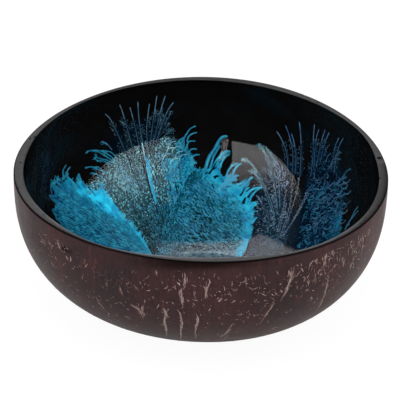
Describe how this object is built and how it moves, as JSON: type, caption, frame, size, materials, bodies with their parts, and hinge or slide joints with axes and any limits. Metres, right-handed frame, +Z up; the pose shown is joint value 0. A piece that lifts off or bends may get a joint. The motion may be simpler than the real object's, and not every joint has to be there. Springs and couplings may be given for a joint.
{
  "type": "coconut shell bowl",
  "caption": "Round serving bowl cut from a coconut shell, polished outside and lacquered black inside with blown blue fans under a clear coat, standing on a sanded flat seat.",
  "frame": {"origin": "middle of the flat sanded seat on the underside", "axes": "+Z up out of the bowl's mouth, +X to the right and -Y to the front as pictured"},
  "size_m": [0.1353, 0.1352, 0.0565],
  "materials": {
    "coconut_shell": "sanded bare endocarp",
    "rim_lacquer": "satin grey-black lacquer with fine pores",
    "outer_finish": "dark reddish brown polish with pale husk fibre marks",
    "black_lacquer": "gloss black lacquer",
    "clear_coat": "clear gloss lacquer",
    "bright_blue_paint": "blown paint film, bright blue, feathered edges",
    "grey_blue_paint": "blown paint film, speckled grey-blue",
    "cyan_paint": "blown paint film, cyan edges over darker blue",
    "deep_blue_paint": "blown paint film, deep blue strands"
  },
  "bodies": {
    "root": {"coconut_shell": "coconut_shell", "rim_lacquer": "rim_lacquer", "outer_finish": "outer_finish", "base_lacquer": "black_lacquer", "clear_coat": "clear_coat", "left_fan": "bright_blue_paint", "back_left_fan": "grey_blue_paint", "middle_fan": "cyan_paint", "plume": "cyan_paint", "right_fan": "deep_blue_paint", "front_right_fan": "bright_blue_paint", "front_left_fan": "cyan_paint"}
  },
  "joints": []
}
